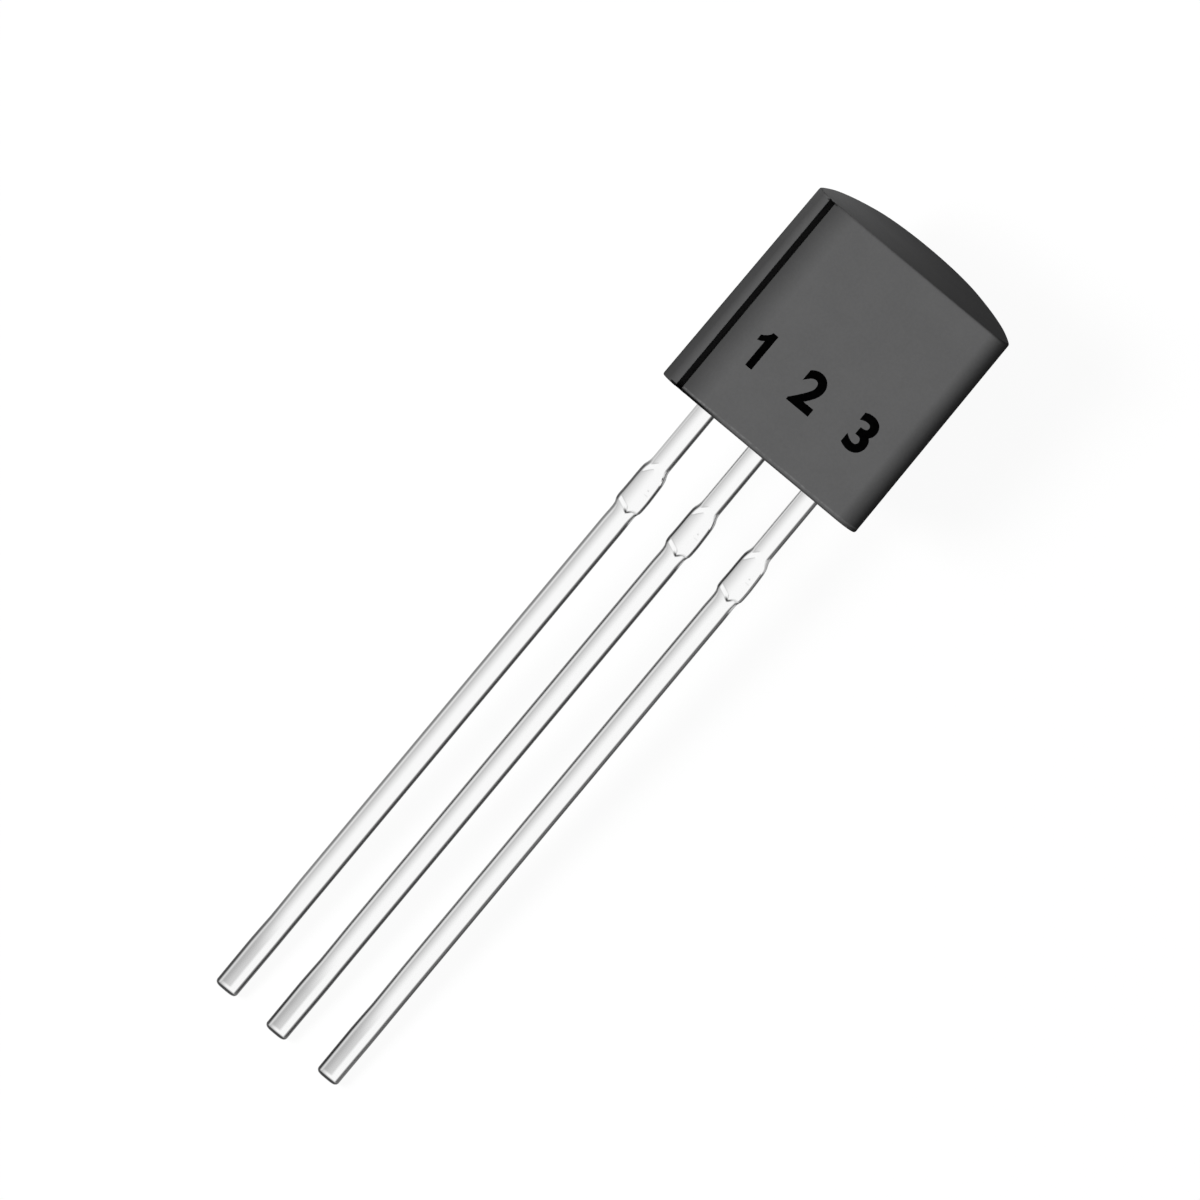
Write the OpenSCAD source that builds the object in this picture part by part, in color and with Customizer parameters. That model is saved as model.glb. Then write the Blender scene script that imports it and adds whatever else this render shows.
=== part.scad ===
// Small-signal transistor in a TO-92 package: a moulded epoxy body, three tinned
// leads stamped from one frame, and inside the epoxy the chip and its bond wires.
// It lies on its rounded back with the tips of the leads on the ground.
//
// Own axes of the parts, before lay_down(): X to the right as seen from the flat
// face, Y from the flat face to the rounded back, Z along the leads towards the
// closed end. Y = 0 is the middle of the leads and Z = 0 is the body's lower end.

/* [Body] */
// Width of the body
body_w = 4.68; // [4.5:0.01:5.2]
// Height of the body along the leads
body_h = 4.64; // [4.4:0.01:5.3]
// Depth of the body from the flat face to the crown of the back
body_d = 3.5; // [3.3:0.01:3.9]
// Distance from the flat face back to the middle of the leads
flat_to_leads = 1.25; // [1.1:0.01:1.4]
// Radius of the rounded back at its crown
back_r = 1.6; // [1.4:0.01:1.9]
// Radius of the long curves between the back and the front edges
flank_r = 5.5; // [4.5:0.05:8]
// Radius of the two upright edges beside the flat face
front_edge_r = 0.43; // [0.2:0.01:0.5]

/* [Index groove] */
// Width of the strip between the body's left side and the groove
strip_w = 0.3; // [0.2:0.01:0.4]
// Width of the groove beside the left front edge
groove_w = 0.12; // [0.08:0.01:0.2]
// Depth of the groove under the flat face
groove_depth = 0.35; // [0.1:0.01:0.45]
// Width of the sloping lip between the groove and the flat face
lip_w = 0.5; // [0.1:0.01:0.7]
// Drop of that lip at the groove
lip_drop = 0.06; // [0.02:0.01:0.12]

/* [Ejector mark] */
// Diameter of the ejector-pin mark in the rounded back
ejector_d = 1.1; // [0.8:0.05:1.3]
// Depth of the mark at the crown of the back
ejector_depth = 0.14; // [0.12:0.01:0.25]
// Height of the mark's middle above the lower end
ejector_z = 2.6; // [1.8:0.05:3.4]

/* [Leads] */
// Distance between the middles of neighbouring leads
lead_pitch = 1.27; // [1.2:0.01:1.35]
// Length of the middle lead below the body
lead_len = 14.55; // [12.5:0.05:15]
// Width of a lead below its tie-bar stub
lead_w = 0.48; // [0.4:0.01:0.53]
// Width of a lead between the body and its tie-bar stub
neck_w = 0.41; // [0.35:0.01:0.5]
// How far that neck stands to the left of the lead's middle
neck_shift = 0.015; // [0:0.005:0.02]
// Thickness of a lead
lead_t = 0.4; // [0.35:0.01:0.46]
// Radius of a lead's long edges
lead_edge_r = 0.13; // [0.05:0.01:0.15]
// Radius of the edge round a lead's tip
tip_r = 0.09; // [0.03:0.01:0.12]
// How much lower each stub and tip sits than those of the lead to its left
frame_step = 0.03; // [0:0.01:0.05]

/* [Tie-bar stubs] */
// Distance from the body to the full width of a stub
stub_from_body = 1.7; // [1.4:0.01:2.2]
// Length of a stub's full width
stub_len = 0.8; // [0.4:0.01:1]
// Width of a stub
stub_w = 0.56; // [0.54:0.01:0.65]
// Thickness of a stub
stub_t = 0.48; // [0.47:0.01:0.55]
// Length of the sloping shoulder between the neck and a stub
shoulder_len = 0.2; // [0.1:0.01:0.4]
// Length of the sheared point at a stub's lower end
point_len = 0.14; // [0.08:0.01:0.2]
// Distance of that point to the right of the lead's middle
point_x = 0.04; // [-0.1:0.01:0.1]
// Length of the sheared step at a stub's left side
left_step = 0.1; // [0.04:0.01:0.14]
// Length of the sheared step at a stub's right side
right_step = 0.03; // [0.01:0.01:0.1]

/* [Chip and frame] */
// Width of the pad that carries the chip
pad_w = 1.3; // [1.0:0.05:1.4]
// Height of that pad
pad_h = 1.5; // [1.2:0.05:1.8]
// Height of the pad's foot above the lower end of the body
pad_z = 1.9; // [1.5:0.05:2.2]
// Width of the bond posts on the outer leads
post_w = 0.72; // [0.6:0.01:0.8]
// Height of the bond posts
post_h = 0.8; // [0.6:0.05:1]
// How far a bond post stands outwards from its lead
post_shift = 0.1; // [0.05:0.01:0.15]
// Length over which a lead widens to its pad or post
flare_len = 0.3; // [0.2:0.05:0.5]
// Side of the square chip
die_side = 0.45; // [0.35:0.01:0.6]
// Thickness of the chip
die_t = 0.2; // [0.1:0.01:0.25]
// Distance of a wire's ball from the chip's middle
ball_x = 0.12; // [0.08:0.01:0.13]
// Diameter of the bond wires
wire_d = 0.03; // [0.025:0.001:0.04]
// Rise of a bond wire's loop above the chip
loop_h = 0.28; // [0.15:0.01:0.35]

/* [Hidden] */
$fn = 64;

CUT = 1;                  // how far a cutter runs past the face that it opens
WIRE_SIDES = 8;
WIRE_STEPS = 14;

flat_y = -flat_to_leads;
crown_y = body_d - flat_to_leads;
die_y = -lead_t / 2 - die_t;          // the chip's face, towards the flat
die_z = pad_z + pad_h / 2;
post_x = lead_pitch + post_shift;
post_bottom = die_z - post_h / 2;     // posts stand level with the chip
ball_d = 2.6 * wire_d;                // bonds are squashed from the wire itself
ball_h = 0.8 * wire_d;

// ---------------------------------------------------------------- lying at rest

// The part rests on the lower edge of its back and on the round tip of its longest
// lead. The tilt lays both on the ground: rise * cos(tilt) - run * sin(tilt) = tip_r.
rise = crown_y - (lead_t / 2 - tip_r);
run = lead_len + frame_step - tip_r;
tilt = atan2(rise, run) - asin(tip_r / norm([rise, run]));

// Furthest reach along the ground, from the tips to the closed end.
tips_y = -(lead_t / 2 - tip_r) * sin(tilt) - run * cos(tilt) - tip_r;
end_y = crown_y * sin(tilt) + body_h * cos(tilt);

// Turns the upright part onto its back, over the middle of its footprint.
module lay_down()
    translate([0, -(tips_y + end_y) / 2, crown_y * cos(tilt)])
        rotate([tilt - 90, 0, 0])
            children();

// A rectangle about its middle with round corners.
module round_rect(w, h, r) {
    square([w - 2 * r, h], center = true);
    square([w, h - 2 * r], center = true);
    for (x = [-1, 1], y = [-1, 1])
        translate([x * (w / 2 - r), y * (h / 2 - r)])
            circle(r);
}

// ------------------------------------------------------------------------- body

// The body's plan is drawn with three radii a side, each arc tangent to the next:
// the front edge, the long flank and the back. These are their centres, on the
// right. The flank's centre lies where circles about the other two centres meet.
front_centre = [body_w / 2 - front_edge_r, flat_y + front_edge_r];
back_centre = [0, crown_y - back_r];
flank_centre = circles_meet(
    back_centre, flank_r - back_r, front_centre, flank_r - front_edge_r
);
front_turn = heading(flank_centre, front_centre);   // where the front edge ends
back_turn = heading(flank_centre, back_centre);     // where the back begins
flank_band = (back_r + front_edge_r) / 2;           // how thick the flanks are drawn

// Where two circles meet, on the right of the way from a to b.
function circles_meet(a, ra, b, rb) =
    let (
        d = norm(b - a),
        along = (d * d + ra * ra - rb * rb) / (2 * d),
        off = sqrt(ra * ra - along * along),
        u = (b - a) / d
    )
    a + along * u + off * [u[1], -u[0]];

function heading(from, to) = atan2(to[1] - from[1], to[0] - from[0]);

function at(centre, r, turn) = centre + r * [cos(turn), sin(turn)];

// A sector of a circle between two headings, from the radius inner outwards. The
// polygon meets the circle only where the arc starts and ends. Its inner corners can
// lean out past those headings, to overlap the sectors beside it.
module sector(centre, r, from, to, inner = 0, lean = 0)
    intersection() {
        translate(centre) circle(r);
        polygon([
            at(centre, r, from), at(centre, 3 * r, (from + to) / 2), at(centre, r, to),
            at(centre, inner, to + lean),
            if (inner > 0) at(centre, inner, from - lean)
        ]);
    }

// The front edge and the flank on the right side.
module right_plan() {
    sector(front_centre, front_edge_r, -90, front_turn);
    sector(flank_centre, flank_r, front_turn, back_turn, flank_r - flank_band, 1);
}

module plan() {
    front = at(front_centre, front_edge_r, -90);
    side = at(front_centre, front_edge_r / 2, 0);
    back = at(back_centre, back_r - flank_band / 2, back_turn);
    right_plan();
    mirror([1, 0]) right_plan();
    sector(back_centre, back_r, back_turn, 180 - back_turn);
    polygon([
        front, side, back, [-back[0], back[1]], [-side[0], side[1]], [-front[0], front[1]]
    ]);
}

module body_form()
    linear_extrude(body_h)
        plan();

// The index groove beside the left front edge, with a lip that slopes into it.
module groove_cutter() {
    near = strip_w - body_w / 2;
    far = near + groove_w;
    translate([0, 0, -CUT])
        linear_extrude(body_h + 2 * CUT)
            polygon([
                [near, flat_y - CUT],
                [near, flat_y + groove_depth],
                [far, flat_y + groove_depth],
                [far, flat_y + lip_drop],
                [far + lip_w, flat_y],
                [far + lip_w, flat_y - CUT]
            ]);
}

// The round mark of the ejector pin in the back.
module ejector_cutter()
    translate([0, crown_y - ejector_depth, ejector_z])
        rotate([-90, 0, 0])
            cylinder(d = ejector_d, h = ejector_depth + CUT);

// ------------------------------------------------------------------------ leads

// An upright bar with round long edges.
module bar(w, t, bottom, top)
    translate([0, 0, bottom])
        linear_extrude(top - bottom)
            round_rect(w, t, lead_edge_r);

// A plate cut to an outline that is drawn in X and Z.
module plate(t)
    translate([0, t / 2, 0])
        rotate([90, 0, 0])
            linear_extrude(t)
                children();

stub_bottom = -stub_from_body - stub_len;
neck_left = -neck_w / 2 - neck_shift;
neck_right = neck_w / 2 - neck_shift;

// From the middle of the stub down to the tip, which is round in both views.
module lower_run() {
    top = -stub_from_body - stub_len / 2;
    length = lead_len + top;
    intersection() {
        bar(lead_w, lead_t, -lead_len, top);
        translate([0, 0, top - length]) {
            intersection() {
                plate(lead_t + CUT)
                    translate([0, length])
                        round_rect(lead_w, 2 * length, tip_r);
                rotate([0, 0, 90])
                    plate(lead_w + CUT)
                        translate([0, length])
                            round_rect(lead_t, 2 * length, tip_r);
            }
        }
    }
}

// What is left of the bar that tied the leads together: a wider and thicker
// stretch, with sloping shoulders above and a sheared point below.
module stub()
    intersection() {
        bar(stub_w, stub_t, stub_bottom - CUT, -stub_from_body + CUT);
        plate(stub_t + CUT)
            polygon([
                [neck_left, -stub_from_body + shoulder_len],
                [-stub_w / 2, -stub_from_body],
                [-stub_w / 2, stub_bottom],
                [-lead_w / 2, stub_bottom - left_step],
                [point_x, stub_bottom - point_len],
                [lead_w / 2, stub_bottom - right_step],
                [stub_w / 2, stub_bottom],
                [stub_w / 2, -stub_from_body],
                [neck_right, -stub_from_body + shoulder_len]
            ]);
    }

// The upper end, which the epoxy holds: the neck and then a head, stamped flat. It
// flares to a plate of width w whose middle stands to one side by shift.
module held_end(w, bottom, h, shift) {
    translate([-neck_shift, 0, 0])
        bar(neck_w, lead_t, -stub_from_body - stub_len / 2, bottom);
    plate(lead_t)
        polygon([
            [neck_left, bottom - flare_len],
            [neck_right, bottom - flare_len],
            [shift + w / 2, bottom],
            [shift + w / 2, bottom + h],
            [shift - w / 2, bottom + h],
            [shift - w / 2, bottom]
        ]);
}

// The end with the bond post; side is -1 for the left lead and 1 for the right.
module post_end(side)
    translate([side * lead_pitch, 0, 0])
        held_end(post_w, post_bottom, post_h, side * post_shift);

// The end with the pad that carries the chip.
module pad_end()
    held_end(pad_w, pad_z, pad_h, 0);

// A lead: its upper end, and the run and the stub, which are alike on all three but
// sit a little lower from lead to lead, as the frame was moulded in slightly askew.
module lead(x) {
    translate([x, 0, -frame_step * x / lead_pitch]) {
        lower_run();
        stub();
    }
    children();
}

// ------------------------------------------------------------------------- chip

// The chip. As a cutter it is sunk into the pad's own pocket, so that no thin skin
// of epoxy can be left where the two pockets meet; the wires' bonds do the same.
module chip(sunk = 0)
    translate([-die_side / 2, die_y, die_z - die_side / 2])
        cube([die_side, die_t + sunk, die_side]);

// A point on the cubic curve through four control points.
function on_curve(p, t) =
    pow(1 - t, 3) * p[0] + 3 * t * pow(1 - t, 2) * p[1]
    + 3 * t * t * (1 - t) * p[2] + pow(t, 3) * p[3];

// A closed tube along points that lie in one plane whose normal is across.
module tube(path, across, d) {
    n = WIRE_SIDES;
    last = len(path) - 1;
    rings = [
        for (j = [0:last])
            let (
                ahead = path[min(j + 1, last)] - path[max(j - 1, 0)],
                along = ahead / norm(ahead),
                up = cross(across, along)
            )
            for (i = [0:n - 1])
                path[j] + d / 2 * (cos(360 * i / n) * across + sin(360 * i / n) * up)
    ];
    polyhedron(
        points = rings,
        faces = [
            [for (i = [n - 1:-1:0]) i],
            for (j = [0:last - 1], i = [0:n - 1])
                let (a = j * n + i, b = j * n + (i + 1) % n)
                each [[a, b, a + n], [b, b + n, a + n]],
            [for (i = [0:n - 1]) last * n + i]
        ]
    );
}

// A squashed bond that stands on the face at y.
module bond(x, y, sunk)
    translate([x, y + sunk, die_z])
        rotate([90, 0, 0])
            cylinder(d = ball_d, h = ball_h + sunk);

// A bond wire: a ball on the chip, a loop, and a pressed end on the post.
module bond_wire(side, sunk = 0) {
    start = [side * ball_x, die_y - ball_h / 2, die_z];
    end = [side * post_x, -lead_t / 2 - ball_h / 2, die_z];
    span = end[0] - start[0];
    controls = [
        start,
        start + [0.05 * span, -1.3 * loop_h, 0],
        start + [0.55 * span, -1.2 * loop_h, 0],
        end
    ];
    tube([for (k = [0:WIRE_STEPS]) on_curve(controls, k / WIRE_STEPS)], [0, 0, side], wire_d);
    bond(start[0], die_y, sunk);
    bond(end[0], -lead_t / 2, sunk);
}

// ------------------------------------------------------------------------ nodes

module epoxy_body()
    lay_down() color("#5f5f61")
        difference() {
            body_form();
            groove_cutter();
            ejector_cutter();
            for (side = [-1, 1]) {
                post_end(side);
                bond_wire(side, sunk = die_t / 2);
            }
            pad_end();
            chip(sunk = lead_t / 2);
        }

module emitter_lead() lay_down() color("#d8d9db") lead(-lead_pitch) post_end(-1);

module collector_lead() lay_down() color("#d8d9db") lead(0) pad_end();

module base_lead() lay_down() color("#d8d9db") lead(lead_pitch) post_end(1);

module silicon_die() lay_down() color("#4d5566") chip();

module emitter_bond_wire() lay_down() color("#d9b44a") bond_wire(-1);

module base_bond_wire() lay_down() color("#d9b44a") bond_wire(1);

epoxy_body();
emitter_lead();
collector_lead();
base_lead();
silicon_die();
emitter_bond_wire();
base_bond_wire();
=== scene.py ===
# %% [markdown]
# # A small transistor in a TO-92 package
#
# The real part is a drop of black epoxy, pressed in a steel mould round three tinned
# leads. One side of the drop is flat and the other is round. A chip and two gold
# wires sit inside it, where nobody sees them. The part lies on its round back, so
# the flat looks up and the leads slope down to the table.
#
# The measured frame gives the real sizes and places. This script dresses it: smooth
# surfaces, finishes, a floor and light. Sizes are written in millimetres and turned
# to metres only when a mesh is put in its place.

# %% Load the measured frame
import math

import bmesh
import bpy
from mathutils import Matrix, Vector


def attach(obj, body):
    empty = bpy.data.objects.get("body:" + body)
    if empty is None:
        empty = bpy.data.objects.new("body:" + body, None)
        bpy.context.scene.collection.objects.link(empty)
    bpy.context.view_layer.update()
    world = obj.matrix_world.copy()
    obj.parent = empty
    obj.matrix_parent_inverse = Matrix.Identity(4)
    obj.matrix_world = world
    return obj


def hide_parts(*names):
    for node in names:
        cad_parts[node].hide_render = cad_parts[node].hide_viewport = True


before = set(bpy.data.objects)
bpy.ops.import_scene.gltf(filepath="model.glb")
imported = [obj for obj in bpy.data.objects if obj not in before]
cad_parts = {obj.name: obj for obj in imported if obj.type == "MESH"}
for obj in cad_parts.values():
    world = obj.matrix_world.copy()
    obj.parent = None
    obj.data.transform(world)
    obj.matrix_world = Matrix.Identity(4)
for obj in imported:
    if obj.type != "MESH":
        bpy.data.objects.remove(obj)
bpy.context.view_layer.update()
print("nodes:", ", ".join(sorted(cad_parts)))

# %% [markdown]
# ## Own axes and the lying pose
#
# It is easiest to build the part upright: X to the right as seen from the flat, Y
# from the flat to the round back, Z up the leads to the closed end. Zero is on the
# middle of the leads, at the body's lower end. One matrix then lays every mesh down,
# so the objects themselves stay unturned at the origin.

# %% Sizes in millimetres and the matrix that lays the part down
BODY_W, BODY_H, BODY_D = 4.68, 4.64, 3.5
FLAT_Y = -1.25
BACK_Y = BODY_D + FLAT_Y
LEAD_PITCH, LEAD_LEN, FRAME_STEP = 1.27, 14.55, 0.03
LEAD_W, LEAD_T, TIP_W, TIP_R = 0.487, 0.4, 0.49, 0.09

rise = BACK_Y - (LEAD_T / 2 - TIP_R)
run = LEAD_LEN + FRAME_STEP - TIP_R
tilt = math.atan2(rise, run) - math.asin(TIP_R / math.hypot(rise, run))
tips_y = -(LEAD_T / 2 - TIP_R) * math.sin(tilt) - run * math.cos(tilt) - TIP_R
end_y = BACK_Y * math.sin(tilt) + BODY_H * math.cos(tilt)

LAY_DOWN = (
    Matrix.Scale(0.001, 4)
    @ Matrix.Translation((0, -(tips_y + end_y) / 2, BACK_Y * math.cos(tilt)))
    @ Matrix.Rotation(tilt - math.pi / 2, 4, "X")
)
print(f"the leads slope at {math.degrees(tilt):.2f} degrees")

# %% [markdown]
# ## Small helpers
#
# A few things are done again and again: making an object, putting a mesh in its
# place, adding a node to a tree, and writing a sum inside a tree. The class Sum lets
# the last one read like plain Python, in geometry trees and in materials alike.

# %% Helpers
def linked(name, data):
    """A new object in the scene."""
    thing = bpy.data.objects.new(name, data)
    bpy.context.scene.collection.objects.link(thing)
    return thing


def place(name, mesh):
    """Lays an upright mesh in millimetres down and makes it an object."""
    mesh.transform(LAY_DOWN)
    return linked(name, mesh)


def settled(thing):
    """The mesh that an object shows once its modifiers have run."""
    graph = bpy.context.evaluated_depsgraph_get()
    return bpy.data.meshes.new_from_object(thing.evaluated_get(graph))


def as_mesh(name, shape):
    """Turns a bmesh into a mesh and lets it go."""
    mesh = bpy.data.meshes.new(name)
    shape.to_mesh(mesh)
    shape.free()
    return mesh


def add_node(tree, kind, settings=None, **sockets):
    """Adds a node; sockets are set by name, with _ for a space."""
    made = tree.nodes.new(kind)
    for key, value in (settings or {}).items():
        setattr(made, key, value)
    for key, value in sockets.items():
        socket = made.inputs[key.replace("_", " ")]
        value = value.socket if isinstance(value, Sum) else value
        if isinstance(value, bpy.types.NodeSocket):
            tree.links.new(value, socket)
        else:
            socket.default_value = value
    return made


class Sum:
    """A number inside a node tree, so that sums on it can be written plainly."""

    def __init__(self, tree, socket):
        self.tree, self.socket = tree, socket

    def math(self, operation, *others):
        made = self.tree.nodes.new("ShaderNodeMath")
        made.operation = operation
        for slot, value in zip(made.inputs, (self, *others)):
            if isinstance(value, Sum):
                self.tree.links.new(value.socket, slot)
            else:
                slot.default_value = value
        return Sum(self.tree, made.outputs[0])

    def __add__(self, other):
        return self.math("ADD", other)

    def __sub__(self, other):
        return self.math("SUBTRACT", other)

    def __mul__(self, other):
        return self.math("MULTIPLY", other)

    def __truediv__(self, other):
        return self.math("DIVIDE", other)

    def __rsub__(self, other):
        return (self * -1) + other

    __radd__, __rmul__ = __add__, __mul__

    def between(self, low, high):
        """The number, kept between low and high."""
        return self.math("MAXIMUM", low).math("MINIMUM", high)

    def step(self, start, end, low=0.0, high=1.0):
        """Runs smoothly from low to high while the number runs from start to end."""
        made = self.tree.nodes.new("ShaderNodeMapRange")
        made.interpolation_type = "SMOOTHSTEP"
        self.tree.links.new(self.socket, made.inputs["Value"])
        ends = {"From Min": start, "From Max": end, "To Min": low, "To Max": high}
        for key, value in ends.items():
            if isinstance(value, Sum):
                self.tree.links.new(value.socket, made.inputs[key])
            else:
                made.inputs[key].default_value = value
        return Sum(self.tree, made.outputs["Result"])


# %% [markdown]
# ## Camera
#
# The camera looks straight down without perspective, as in a catalogue picture, and
# is rolled so that the leads run to the lower left. It comes before the pieces,
# because every later choice of light and finish is judged through it.

# %% Camera
VIEW_W = 0.022670                       # width of the view in metres
ROLL = math.atan2(0.640, 0.768)
VIEW_MIDDLE = Matrix.Translation((-0.00053, 0.000584, 0.2))

lens = bpy.data.cameras.new("catalogue_camera")
lens.type = "ORTHO"
lens.ortho_scale = VIEW_W
lens.clip_start, lens.clip_end = 0.001, 5
camera = linked("catalogue_camera", lens)
camera.matrix_world = VIEW_MIDDLE @ Matrix.Rotation(ROLL, 4, "Z")
bpy.context.scene.camera = camera
bpy.context.scene.view_settings.view_transform = "Standard"
print("camera rolled by", round(math.degrees(ROLL), 1), "degrees")

# %% [markdown]
# ## The moulded body
#
# Seen from an end, the outline is an arch with three radii a side: a small one at
# the front edge, a long one down the flank and a medium one round the back. Each arc
# runs into the next without a kink, so one number, the heading of the surface, says
# where a point lies. The groove beside the left front edge breaks that rule. A list
# of points holds both, and offsetting it gives the slightly rounded end edges.

# %% Outline of the body
BACK_R, FLANK_R, FRONT_R = 1.6, 5.5, 0.43
STRIP_W, GROOVE_W, GROOVE_D = 0.31, 0.12, 0.35
BRINK_R, FLOOR_R = 0.03, 0.05           # how far the groove's corners are cut back
LIP_W, LIP_DROP, LIP_STEPS = 0.5, 0.06, 12

front_centre = Vector((BODY_W / 2 - FRONT_R, FLAT_Y + FRONT_R))
back_centre = Vector((0, BACK_Y - BACK_R))


def circles_meet(a, ra, b, rb):
    """Where two circles meet, on the right of the way from a to b."""
    way = b - a
    along = (way.length_squared + ra * ra - rb * rb) / (2 * way.length)
    off = math.sqrt(ra * ra - along * along)
    u = way.normalized()
    return a + along * u + off * Vector((u.y, -u.x))


flank_centre = circles_meet(back_centre, FLANK_R - BACK_R, front_centre, FLANK_R - FRONT_R)


def heading(start, end):
    return math.atan2(end.y - start.y, end.x - start.x)


def arc(centre, r, start, end, steps):
    """Points on an arc, without its last one."""
    turns = (start + (end - start) * k / steps for k in range(steps))
    return [centre + r * Vector((math.cos(t), math.sin(t))) for t in turns]


def rounded(corner, before, after, r, steps=4):
    """A corner of the outline, cut off by a small curve that starts r before it."""
    a = corner + r * (before - corner).normalized()
    b = corner + r * (after - corner).normalized()
    shares = (k / steps for k in range(steps + 1))
    return [a.lerp(corner, t).lerp(corner.lerp(b, t), t) for t in shares]


front_turn = heading(flank_centre, front_centre)
back_turn = heading(flank_centre, back_centre)
right_half = (
    arc(front_centre, FRONT_R, -math.pi / 2, front_turn, 16)
    + arc(flank_centre, FLANK_R, front_turn, back_turn, 24)
    + arc(back_centre, BACK_R, back_turn, math.pi / 2, 28)
)
left_half = [Vector((-p.x, p.y)) for p in reversed(right_half)]

GROOVE_LEFT = STRIP_W - BODY_W / 2
GROOVE_RIGHT = GROOVE_LEFT + GROOVE_W
GROOVE_FLOOR = FLAT_Y + GROOVE_D
brink_y = front_centre.y - math.sqrt(FRONT_R ** 2 - (GROOVE_LEFT + front_centre.x) ** 2)
strip = [p for p in left_half if not (p.y < front_centre.y and p.x > GROOVE_LEFT - 0.04)]
groove = [Vector(p) for p in (
    (GROOVE_LEFT, brink_y), (GROOVE_LEFT, GROOVE_FLOOR), (GROOVE_RIGHT, GROOVE_FLOOR),
    (GROOVE_RIGHT, FLAT_Y + LIP_DROP), (GROOVE_RIGHT + LIP_W, FLAT_Y),
)]
outline = right_half + [Vector((0, BACK_Y))] + strip
corner_radii = (BRINK_R, FLOOR_R, FLOOR_R, BRINK_R)
for before, corner, after, r in zip([strip[-1]] + groove, groove, groove[1:], corner_radii):
    outline += rounded(corner, before, after, r)
for k in range(1, LIP_STEPS + 1):
    drop = LIP_DROP * (1 - k / LIP_STEPS) ** 1.5
    outline.append(Vector((GROOVE_RIGHT + LIP_W * k / LIP_STEPS, FLAT_Y + drop)))
outline += [Vector((x, FLAT_Y)) for x in (-0.9, -0.4, 0.3, 1.0, 1.6)]
print("outline has", len(outline), "points")

# %% [markdown]
# The outline is now carried up the height of the body. Rings near both ends shrink
# along the outline's own normals, which rounds the edges there, and a trace of draft
# makes the body wider at its lower end, as a moulding must be to leave its mould.
# The groove doesn't run out: at both ends a thin web closes all but its brink. The
# ejector pin of the mould has left a round mark in the back: a boolean cut. Two
# numbers go with each vertex: one for painted shade in the groove, on the lip, along
# the round front edges and on the lower end's edge, and one for a painted highlight,
# the thin light line along the lower edge of the flat.

# %% Body mesh
END_R = 0.045                           # radius of both ends' edges
END_STEPS = 6
WEB = 0.02                              # thickness of the webs at the groove's ends
BRINK_D, WEB_SHARE = 0.05, 0.1          # depth that stays open, and what stays of the rest
DRAFT = 0.016
END_LEAN = math.tan(math.radians(3))    # the lower end face leans out, flat to leads
LEAN_BELOW = 0.1                        # only the rings below this level lean
# The level of the ring that carries a painted highlight: the thin light line along the lower edge
# of the flat.
HIGHLIGHT_LEVEL = 0.085
PIN_R, PIN_DEPTH, PIN_LEVEL = 0.55, 0.14, 2.6
NARROW = 0.15                           # over this width the groove holds rounding back

# Painted shade: how dark the groove, the lip beside it and the round front edges are made, as if
# in shadow.
GROOVE_SHADE, LIP_SHADE, LEFT_EDGE_SHADE, RIGHT_EDGE_SHADE = 0.15, 0.5, 0.55, 0.33
SHADE_D, SHADE_FADE = 1.2, 0.7            # the front edges' painted shade: depth, and where it thins
CORNER_X, DARK_X = -2.15, -1.4          # between them the painted shade on the lower end's edge is darkest
# Painted shade on the lower end's round edge, where it turns from the light, and at the groove's
# closed end.
CORNER_SHADE, DARKEST_SHADE, EDGE_SHADE, FLARE_SHADE = 0.15, 0.97, 0.42, 0.8


def outline_normals(points):
    """Unit normals that point out of a closed outline which runs anticlockwise."""
    normals = []
    for k, p in enumerate(points):
        a, b = (p - points[k - 1]).normalized(), (points[(k + 1) % len(points)] - p).normalized()
        n = Vector((a.y + b.y, -a.x - b.x))
        normals.append(n.normalized() / max(0.8, math.sqrt((1 + a.dot(b)) / 2)))
    return normals


def body_rings(end_r):
    """Height and inset of each ring, from the lower end to the closed end."""
    turns = (math.pi / 2 * k / END_STEPS for k in range(END_STEPS + 1))
    low = [(0.0, end_r + 0.006)]        # keeps the end face flat right up to its round edge
    low += [(end_r * (1 - math.cos(t)), end_r * (1 - math.sin(t))) for t in turns]
    low += [(0.060, 0.0), (HIGHLIGHT_LEVEL, 0.0), (0.110, 0.0)]
    middle = [(BODY_H * k / 10, 0.0) for k in range(1, 10)]
    return low + middle + [(BODY_H - z, inset) for z, inset in reversed(low)]


def side_painted_shade(p):
    """Painted shade at a point of the outline: in the groove, on the lip and on the round front
    edges.
    """
    inside = GROOVE_LEFT - 0.001 < p.x < GROOVE_RIGHT + 0.001
    if inside and FLAT_Y + 0.1 < p.y < GROOVE_FLOOR + 0.01:
        return GROOVE_SHADE
    if GROOVE_RIGHT - 0.01 <= p.x <= GROOVE_RIGHT + LIP_W and p.y < FLAT_Y + 0.1:
        return LIP_SHADE * (1 - (p.x - GROOVE_RIGHT) / LIP_W)
    if p.y > FLAT_Y + SHADE_D or abs(p.x) < front_centre.x:
        return 0.0
    turned = min(1.0, (abs(p.x) - front_centre.x) / (0.7 * FRONT_R))
    fade = min(1.0, (FLAT_Y + SHADE_D - p.y) / SHADE_FADE)
    return fade * (LEFT_EDGE_SHADE * turned ** 1.5 if p.x < 0 else RIGHT_EDGE_SHADE * turned)


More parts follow.
